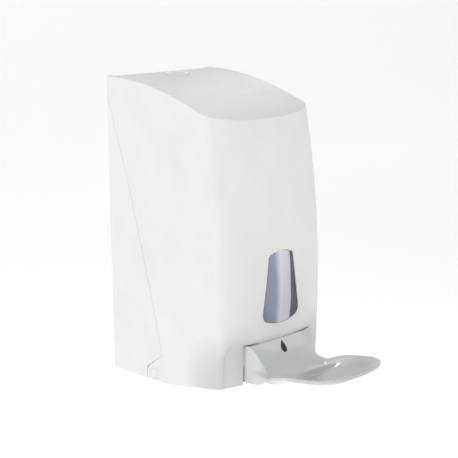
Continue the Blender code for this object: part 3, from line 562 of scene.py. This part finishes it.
def tray_half_width(y):
    furthest = TRAY_FLARE[-1][0]
    return blend_between(TRAY_FLARE, min(max(FLARE_START_Y - y, 0.0), furthest))


def rim_height(y):
    """The tray's rim rises from its root and levels off towards the tip."""
    furthest = RIM_RISE[-1][0]
    return blend_between(RIM_RISE, min(max(TRAY_ROOT_Y - y, 0.0), furthest))


def tray_edge(t, y):
    """Grows from 0 in the middle of the tray to 1 on its squarish rim."""
    past = max(0.0, (TRAY_STRAIGHT_END - y) / (TRAY_STRAIGHT_END - TRAY_TIP))
    return min(1.0, (abs(t) ** TRAY_SQUARENESS + past**TRAY_SQUARENESS) ** (1 / TRAY_SQUARENESS))


def tray_height(t, y):
    """The tray's top: a raised rim round a dish, with a soft roll and a valley where it leaves the face."""
    edge = tray_edge(t, y)
    roll = ROLL_HEIGHT * exp(-(((y - ROLL_Y) / ROLL_WIDTH) ** 2))
    valley = VALLEY_DEPTH * exp(-(((y - VALLEY_Y) / ROLL_WIDTH) ** 2))
    middle = max(0.0, 1 - (t / ROLL_SPREAD) ** 4) ** 2
    return rim_height(y) - TRAY_DISH * (1 - edge**5) + (roll - valley) * middle


def tray_end(t):
    reach = max(0.0, 1 - abs(t)**TRAY_SQUARENESS) ** (1 / TRAY_SQUARENESS)
    return TRAY_STRAIGHT_END + (TRAY_TIP - TRAY_STRAIGHT_END) * reach


def face_foot(t):
    return FACE_FOOT_Y + FACE_FOOT_BOW * t * t


def lever_profile(t):
    """The upper surface at one share of the half width, from the top edge to the tray's tip."""
    top = (front_y(t * FACE_HALF_WIDTH[0][1], LEVER_TOP), LEVER_TOP)
    foot = (face_foot(t), tray_height(t, face_foot(t)))
    hollow = (HOLLOW_Y - HOLLOW_BOW * t * t, HOLLOW_HEIGHT)
    points = []
    for i in range(FACE_STEPS + 1):
        s = i / FACE_STEPS
        a, b, c = curve_weights(s)
        y, h = (a * top[k] + b * hollow[k] + c * foot[k] for k in (0, 1))
        lip = blend_between(FACE_SIDE_LIP, s) * t**4
        points.append((t * blend_between(FACE_HALF_WIDTH, s), y - lip, h))
    end = tray_end(t)
    for i in range(1, TRAY_STEPS + 1):
        y = foot[0] + (end - foot[0]) * i / TRAY_STEPS
        points.append((t * tray_half_width(y), y, tray_height(t, y)))
    return points


def underside(t, y):
    """The tray's lower surface: a shallow belly inside an even rim."""
    return rim_height(y) - RIM_THICKNESS - TRAY_BELLY * (1 - tray_edge(t, y) ** 4)


def thickened(points, t):
    """Adds the underside to a profile: an even wall behind the face, then the tray's belly."""
    under = []
    last = len(points) - 1
    for i, (x, y, h) in enumerate(points):
        before, after = points[max(i - 1, 0)], points[min(i + 1, last)]
        along_y, along_h = after[1] - before[1], after[2] - before[2]
        length = hypot(along_y, along_h)
        share = min(1.0, i / FACE_STEPS)
        thick = FACE_THICKNESS + (TRAY_THICKNESS - FACE_THICKNESS) * share
        behind = (x, y - along_h / length * thick, h + along_y / length * thick)
        belly = (x, y, underside(t, y))
        blend = smooth_step((i - FACE_STEPS) / BELLY_BLEND_STEPS)
        under.append(tuple(a + (b - a) * blend for a, b in zip(behind, belly)))
    return points + list(reversed(under))


# the flank's front edge follows these steps of the face's side, then runs back under it
FLANK_PICKED = [0, 4, 8, 12, 16, 20, 24, 28, 31, FACE_STEPS]
FLANK_TAIL = [(0.0412, -0.1794, 0.0230), (0.0412, -0.1770, 0.0190), (0.0411, -0.1685, 0.0158)]
FLANK_TAIL += [(0.0408, -0.1580, 0.0148)]
# heights of its rear edge, one for each point of the front edge
FLANK_BACK_HEIGHTS = [0.0484, 0.0455, 0.0425, 0.0395, 0.0365, 0.0335, 0.0305, 0.0280, 0.0260, 0.0240]
FLANK_BACK_HEIGHTS += [0.0205, 0.0172, 0.0152, 0.0146]
FLANK_BACK_Y, FLANK_END_Y = -0.1500, -0.1430
FLANK_INSET = 0.0007  # its outer face stands this far inside the lever's width
FLANK_WALL = 0.0036
FLANK_STEPS = 8


def flank(side):
    """The convex shoulder between the face's side and the opening in the cover."""
    profile = lever_profile(1.0)
    crest = [profile[i] for i in FLANK_PICKED] + FLANK_TAIL
    outer_x, back_y = LEVER_HALF_WIDTH - FLANK_INSET, FLANK_BACK_Y
    loops = []
    for (x, y, h), back_h in zip(crest, FLANK_BACK_HEIGHTS):
        shoulder = (x + 0.70 * (outer_x - x), y + 0.30 * (back_y - y), (h + back_h) / 2)
        corners = list(zip((x, y, h), shoulder, (outer_x, back_y, back_h)))
        loop = []
        for i in range(FLANK_STEPS + 1):
            a, b, c = curve_weights(i / FLANK_STEPS)
            loop.append(tuple(a * p + b * q + c * r for p, q, r in corners))
        loop += [(outer_x, FLANK_END_Y, back_h), (outer_x - FLANK_WALL, FLANK_END_Y, back_h)]
        loop += [(x - 0.0030, y + 0.0035, h - 0.0005)]
        loops.append([(side * px, py, ph) for px, py, ph in loop])
    return loft("flank", loops)


EAR_FOOT = [(-0.1520, 0.0484), (-0.1520, 0.0300), (-0.1430, 0.0260)]
LEVER_EAR_RADIUS = 0.0040
WEB = [(-0.1585, 0.0410), (-0.1615, 0.0370), (-0.1680, 0.0304), (-0.1745, 0.0265), (-0.1805, 0.0232)]
WEB += [(-0.1720, 0.0190), (-0.1500, 0.0175), (-0.1346, 0.0185), (-0.1346, 0.0295), (-0.1460, 0.0340)]
WEB_HALF = 0.0016
MOULD_VOXEL = 0.0006


def mould(body):
    """Runs the joined pieces into one even surface."""
    moulded = body.modifiers.new("moulded", "REMESH")
    moulded.mode = "VOXEL"
    moulded.voxel_size = MOULD_VOXEL
    moulded.use_smooth_shade = True
    flow = body.modifiers.new("flow", "SMOOTH")
    flow.factor = 0.5
    flow.iterations = 10
    apply_modifiers(body)
    body.data.shade_smooth()


def make_lever():
    per_side = 40
    right = [sin(pi / 2 * i / per_side) for i in range(per_side + 1)]
    columns = [-t for t in reversed(right[1:])] + right
    body = loft("lever_shell", [thickened(lever_profile(t), t) for t in columns])
    for side in (-1, 1):
        join(body, flank(side))
        x = sorted((side * (LEVER_HALF_WIDTH - FLANK_WALL), side * LEVER_HALF_WIDTH))
        join(body, prism_x("ear", EAR_FOOT + arc(LEVER_AXIS, LEVER_EAR_RADIUS, -20, 90, 7), x[0], x[1]))
    join(body, prism_x("web", WEB, -WEB_HALF, WEB_HALF))
    join(body, block("pad_seat", (-0.0065, 0.0065), (-0.1370, -0.1346), (0.0183, 0.0297)))
    for side in (-1, 1):
        ends = (side * 0.030, *LEVER_AXIS), (side * 0.045, *LEVER_AXIS)
        cut(body, rod("pin_hole", LEVER_PIN_RADIUS + GAP, *ends, sides=32))
    mould(body)
    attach(body, "lever")
    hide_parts("push_lever")
    return body


def make_mark(lever):
    """A plain droplet pictogram, printed on the lever's face."""
    centre_h, reach, radius, sag = 0.0398, 0.0070, 0.0033, -0.0003
    ink_thickness, slab = 0.00012, (-0.1800, -0.1590)
    outline = arc((0.0, centre_h), radius, -205, 25, 36)
    tip = (0.0, centre_h + reach)
    outline += bowed(outline[-1], tip, sag, 10)[1:] + bowed(tip, outline[0], sag, 10)
    printed = lever.copy()
    printed.data = lever.data.copy()
    printed.name = "droplet_mark"
    bpy.context.scene.collection.objects.link(printed)
    raised = printed.modifiers.new("raised", "DISPLACE")
    raised.strength = ink_thickness
    raised.mid_level = 0.0
    apply_modifiers(printed)
    combine(printed, prism_y("droplet", outline, slab[0], slab[1]), "INTERSECT")
    shade(printed, 40)
    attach(printed, "lever")
    return printed


# ---- spring ------------------------------------------------------------------------------------------------
def make_spring():
    """The return spring round the pump's barrel; here it is a fixed coil, which does not shorten as the plunger
    goes in.
    """
    turns, per_turn, coil_radius, wire_radius = 5, 48, 0.0110, 0.0006
    axis_height = 0.024
    low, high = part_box("pump_spring")
    start, end = low.y + wire_radius, high.y - wire_radius
    curve = bpy.data.curves.new("return_spring", "CURVE")
    curve.dimensions = "3D"
    curve.bevel_depth = wire_radius
    curve.bevel_resolution = 4
    curve.use_fill_caps = True
    spline = curve.splines.new("POLY")
    count = turns * per_turn + 1
    spline.points.add(count - 1)
    for i, point in enumerate(spline.points):
        angle = 2 * pi * i / per_turn
        y = start + (end - start) * i / (count - 1)
        point.co = (coil_radius * cos(angle), y, up(axis_height) + coil_radius * sin(angle), 1)
    drawn = bpy.data.objects.new("drawn_spring", curve)
    bpy.context.scene.collection.objects.link(drawn)
    bpy.context.view_layer.update()
    evaluated = drawn.evaluated_get(bpy.context.evaluated_depsgraph_get())
    mesh = bpy.data.meshes.new_from_object(evaluated)
    bpy.data.objects.remove(drawn, do_unlink=True)
    body = bpy.data.objects.new("return_spring", mesh)
    bpy.context.scene.collection.objects.link(body)
    body.data.shade_smooth()
    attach(body, "root")
    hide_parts("pump_spring")
    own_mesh(body)
    return body


# ---- materials ---------------------------------------------------------------------------------------------
def scaled(colour, factor):
    return tuple(min(1.0, c * factor) for c in colour) + (1.0,)


def finish(name, colour, roughness, variation=0.02, cloud_scale=28, grain_scale=1600, grain=0.06,
           stretch=(1, 1, 1), **sockets):
    """A moulded or rolled surface: faint clouds in its colour, uneven gloss and a fine grain."""
    made = bpy.data.materials.new(name)
    made.use_nodes = True
    tree = made.node_tree
    shader = tree.nodes["Principled BSDF"]
    place = tree.nodes.new("ShaderNodeTexCoord")
    mapping = tree.nodes.new("ShaderNodeMapping")
    mapping.inputs["Scale"].default_value = stretch
    tree.links.new(place.outputs["Object"], mapping.inputs["Vector"])

    def noise(scale, detail):
        node = tree.nodes.new("ShaderNodeTexNoise")
        node.inputs["Scale"].default_value = scale
        node.inputs["Detail"].default_value = detail
        tree.links.new(mapping.outputs["Vector"], node.inputs["Vector"])
        return node.outputs["Fac"]

    clouds = noise(cloud_scale, 3)
    ramp = tree.nodes.new("ShaderNodeValToRGB")
    ramp.color_ramp.elements[0].position = 0.30
    ramp.color_ramp.elements[0].color = scaled(colour, 1 - variation)
    ramp.color_ramp.elements[1].position = 0.70
    ramp.color_ramp.elements[1].color = scaled(colour, 1 + variation)
    tree.links.new(clouds, ramp.inputs["Fac"])
    tree.links.new(ramp.outputs["Color"], shader.inputs["Base Color"])

    uneven = tree.nodes.new("ShaderNodeMapRange")
    uneven.inputs["From Min"].default_value = 0.3
    uneven.inputs["From Max"].default_value = 0.7
    uneven.inputs["To Min"].default_value = max(0.02, roughness - 0.04)
    uneven.inputs["To Max"].default_value = roughness + 0.04
    tree.links.new(noise(cloud_scale * 7, 4), uneven.inputs["Value"])
    tree.links.new(uneven.outputs["Result"], shader.inputs["Roughness"])

    bump = tree.nodes.new("ShaderNodeBump")
    bump.inputs["Strength"].default_value = grain
    bump.inputs["Distance"].default_value = 0.0002
    tree.links.new(noise(grain_scale, 2), bump.inputs["Height"])
    tree.links.new(bump.outputs["Normal"], shader.inputs["Normal"])
    for socket, value in sockets.items():
        shader.inputs[socket.replace("_", " ")].default_value = value
    return made


def dress(obj, material):
    """Gives an object one material, in every slot."""
    if not obj.data.materials:
        obj.data.materials.append(material)
    for slot in obj.material_slots:
        slot.material = material


# places of the colour sockets in a mixing node
MIX_FIRST, MIX_SECOND, MIX_RESULT = 6, 7, 2


def multiply_colour(material, tint):
    """Multiplies a material's colour by the colour from another node."""
    tree = material.node_tree
    base = tree.nodes["Principled BSDF"].inputs["Base Color"]
    blend = tree.nodes.new("ShaderNodeMix")
    blend.data_type = "RGBA"
    blend.blend_type = "MULTIPLY"
    blend.inputs["Factor"].default_value = 1.0
    tree.links.new(base.links[0].from_socket, blend.inputs[MIX_FIRST])
    tree.links.new(tint, blend.inputs[MIX_SECOND])
    tree.links.new(blend.outputs[MIX_RESULT], base)


def paint_shade_patch(material, centre, size, factor):
    """Paints shade: darkens the colour in a soft-edged ellipsoid."""
    full_at = 0.55  # how far in from its edge the painted shade is full
    tree = material.node_tree
    place = tree.nodes.new("ShaderNodeTexCoord")
    mapping = tree.nodes.new("ShaderNodeMapping")
    mapping.vector_type = "TEXTURE"
    mapping.inputs["Location"].default_value = centre
    mapping.inputs["Scale"].default_value = size
    patch = tree.nodes.new("ShaderNodeTexGradient")
    patch.gradient_type = "SPHERICAL"
    tones = tree.nodes.new("ShaderNodeValToRGB")
    tones.color_ramp.interpolation = "EASE"
    tones.color_ramp.elements[0].color = (1, 1, 1, 1)
    tones.color_ramp.elements[1].color = (factor, factor, factor, 1)
    tones.color_ramp.elements[1].position = full_at
    tree.links.new(place.outputs["Object"], mapping.inputs["Vector"])
    tree.links.new(mapping.outputs["Vector"], patch.inputs["Vector"])
    tree.links.new(patch.outputs["Fac"], tones.inputs["Fac"])
    multiply_colour(material, tones.outputs["Color"])


# the lens's colour at each x, from its left edge to its right: blue-grey smoke, a painted pale reflection
# across the middle and a painted dark reflection towards the right edge
LENS_SMOKE_AND_REFLECTIONS = [
    (-0.0240, (0.250, 0.280, 0.400)), (-0.0180, (0.320, 0.335, 0.410)), (-0.0080, (0.320, 0.350, 0.440)),
    (-0.0014, (0.740, 0.760, 0.880)), (0.0060, (0.700, 0.700, 0.800)), (0.0108, (0.660, 0.660, 0.730)),
    (0.0120, (0.095, 0.105, 0.160)), (0.0175, (0.060, 0.065, 0.100)), (0.0196, (0.050, 0.055, 0.085)),
    (0.0225, (0.004, 0.006, 0.012)),
]


def paint_lens_smoke_and_reflections(material):
    """Turns the smoky lens's colour from blue-grey to pale and back to dark across its width; the blue-grey is
    its smoke, while the pale band and the dark right side are painted reflections.
    """
    tree = material.node_tree
    place = tree.nodes.new("ShaderNodeTexCoord")
    split = tree.nodes.new("ShaderNodeSeparateXYZ")
    across = tree.nodes.new("ShaderNodeMapRange")
    first, last = LENS_SMOKE_AND_REFLECTIONS[0][0], LENS_SMOKE_AND_REFLECTIONS[-1][0]
    across.inputs["From Min"].default_value = first
    across.inputs["From Max"].default_value = last
    tones = tree.nodes.new("ShaderNodeValToRGB")
    while len(tones.color_ramp.elements) < len(LENS_SMOKE_AND_REFLECTIONS):
        tones.color_ramp.elements.new(0.5)
    for stop, (x, colour) in zip(tones.color_ramp.elements, LENS_SMOKE_AND_REFLECTIONS):
        stop.position = (x - first) / (last - first)
        stop.color = (*colour, 1)
    tree.links.new(place.outputs["Object"], split.inputs["Vector"])
    tree.links.new(split.outputs["X"], across.inputs["Value"])
    tree.links.new(across.outputs["Result"], tones.inputs["Fac"])
    multiply_colour(material, tones.outputs["Color"])
    return material


CASING = finish("casing_white", (0.84, 0.85, 0.835), 0.52, Specular_IOR_Level=0.4)
LEVER = finish("lever_grey", (0.69, 0.71, 0.72), 0.17)
PUMP = finish("pump_white", (0.72, 0.73, 0.72), 0.38)
TANK = finish("frosted_tank", (0.80, 0.83, 0.84), 0.42, Transmission_Weight=0.55, IOR=1.5)
SMOKE = finish("smoke_window", (0.93, 0.93, 0.93), 0.12, variation=0.07, cloud_scale=220, grain=0.02,
               stretch=(1, 1, 0.03), Transmission_Weight=0.04, IOR=1.45)
RUBBER = finish("black_rubber", (0.03, 0.03, 0.032), 0.62, variation=0.2)
INK = finish("mark_ink", (0.02, 0.02, 0.022), 0.45, variation=0.1)
STEEL = finish("brushed_steel", (0.62, 0.63, 0.64), 0.30, cloud_scale=400, grain=0.1, Metallic=1.0)
CHROME = finish("lock_chrome", (0.93, 0.93, 0.92), 0.38, variation=0.03, Metallic=0.25)
SLOT_FINISH = {
    "casing": CASING, "lever": LEVER, "smoke_window": SMOKE, "tank_plastic": TANK, "pump_plastic": PUMP,
    "rubber": RUBBER, "steel": STEEL, "lock_chrome": CHROME,
}

# painted shade: the tray's dish and the recesses beside the lever are darkened in their colour
tray_middle, tray_reach, tray_painted_shade = (0, -0.226, up(0.030)), (0.054, 0.040, 0.040), 0.60
recess_reach, recess_painted_shade = (0.034, 0.060, 0.060), 0.76
paint_shade_patch(LEVER, tray_middle, tray_reach, tray_painted_shade)
for side in (-1, 1):
    recess_middle = (side * 0.050, -0.150, up(0.014))
    paint_shade_patch(CASING, recess_middle, recess_reach, recess_painted_shade)
dress(make_cover(), CASING)
# the lens's colour carries painted reflections
dress(make_lens(), paint_lens_smoke_and_reflections(SMOKE))
lever_shell = make_lever()
dress(lever_shell, LEVER)
dress(make_mark(lever_shell), INK)
dress(make_spring(), STEEL)
for row in frame["record"]["subparts"]:
    dress(nodes[row["node"]], SLOT_FINISH[row["material_slot"]])


# ---- stage, lights and camera ------------------------------------------------------------------------------
def make_floor():
    """A plain pale floor below the hanging dispenser, curving up into a backdrop far behind it."""
    floor_z, half, front, back, rise, radius, steps = -0.46, 6.0, -6.0, 3.5, 4.0, 1.5, 16
    bend = [pi / 2 * i / steps for i in range(steps + 1)]
    profile = [(front, floor_z)]
    profile += [(back - radius + radius * sin(a), floor_z + radius - radius * cos(a)) for a in bend]
    profile += [(back, rise)]
    shape = bmesh.new()
    rows = [[shape.verts.new((x, y, z)) for y, z in profile] for x in (-half, half)]
    for j in range(len(profile) - 1):
        shape.faces.new((rows[0][j], rows[1][j], rows[1][j + 1], rows[0][j + 1]))
    body = to_object("studio_floor", shape)
    body.data.shade_smooth()
    return body


def soft_light(name, direction, distance, size, power):
    """A soft box that faces the dispenser from one direction."""
    data = bpy.data.lights.new(name, "AREA")
    data.shape = "RECTANGLE"
    data.size, data.size_y = size
    data.energy = power
    made = bpy.data.objects.new(name, data)
    towards = Vector(direction).normalized()
    made.location = towards * distance
    made.rotation_mode = "QUATERNION"
    made.rotation_quaternion = towards.to_track_quat("Z", "Y")
    bpy.context.scene.collection.objects.link(made)


def make_world(zenith, horizon):
    """White surroundings that are dimmer overhead."""
    world = bpy.data.worlds.new("studio")
    bpy.context.scene.world = world
    world.use_nodes = True
    tree = world.node_tree
    place = tree.nodes.new("ShaderNodeTexCoord")
    split = tree.nodes.new("ShaderNodeSeparateXYZ")
    ramp = tree.nodes.new("ShaderNodeMapRange")
    ramp.inputs["From Min"].default_value = 0.0
    ramp.inputs["From Max"].default_value = 0.9
    ramp.inputs["To Min"].default_value = horizon
    ramp.inputs["To Max"].default_value = zenith
    tree.links.new(place.outputs["Generated"], split.inputs["Vector"])
    tree.links.new(split.outputs["Z"], ramp.inputs["Value"])
    background = tree.nodes["Background"]
    background.inputs["Color"].default_value = (1, 1, 1, 1)
    tree.links.new(ramp.outputs["Result"], background.inputs["Strength"])


CAMERA_PLACE = (-0.7822, -0.8893, 0.2406)
CAMERA_LENS, CAMERA_SENSOR = 96.95, 36.0  # millimetres


def make_camera():
    azimuth, elevation, roll = radians(44.48), radians(12.20), radians(-0.424)
    data = bpy.data.cameras.new("photo_view")
    data.lens, data.sensor_width = CAMERA_LENS, CAMERA_SENSOR
    data.clip_start, data.clip_end = 0.02, 50.0
    made = bpy.data.objects.new("photo_view", data)
    made.location = CAMERA_PLACE
    looking = Vector((
        sin(azimuth) * cos(elevation), cos(azimuth) * cos(elevation), -sin(elevation)
    ))
    made.rotation_mode = "QUATERNION"
    made.rotation_quaternion = looking.to_track_quat("-Z", "Y") @ Quaternion((0, 0, 1), roll)
    bpy.context.scene.collection.objects.link(made)
    bpy.context.scene.camera = made


# name, direction, distance, width and height, power
LIGHTS = [
    ("left_box", (-1.0, -0.10, 0.25), 1.6, (1.2, 1.4), 6.0),
    ("right_box", (0.85, -0.95, 0.10), 1.8, (0.5, 1.5), 2.8),
    ("front_box", (-0.15, -0.70, 0.70), 1.8, (0.9, 0.9), 5.6),
    ("valley_light", (0.685, 0.43, 0.59), 1.5, (0.22, 0.22), 2.0),
]

floor_paint = finish("pale_floor", (0.90, 0.90, 0.90), 0.8, variation=0.005, cloud_scale=2)
floor_shader = floor_paint.node_tree.nodes["Principled BSDF"]
floor_shader.inputs["Emission Color"].default_value = (1, 1, 1, 1)
floor_shader.inputs["Emission Strength"].default_value = 0.40
dress(make_floor(), floor_paint)
make_world(zenith=0.35, horizon=0.65)
for light in LIGHTS:
    soft_light(*light)
make_camera()
bpy.context.scene.view_settings.view_transform = "Standard"
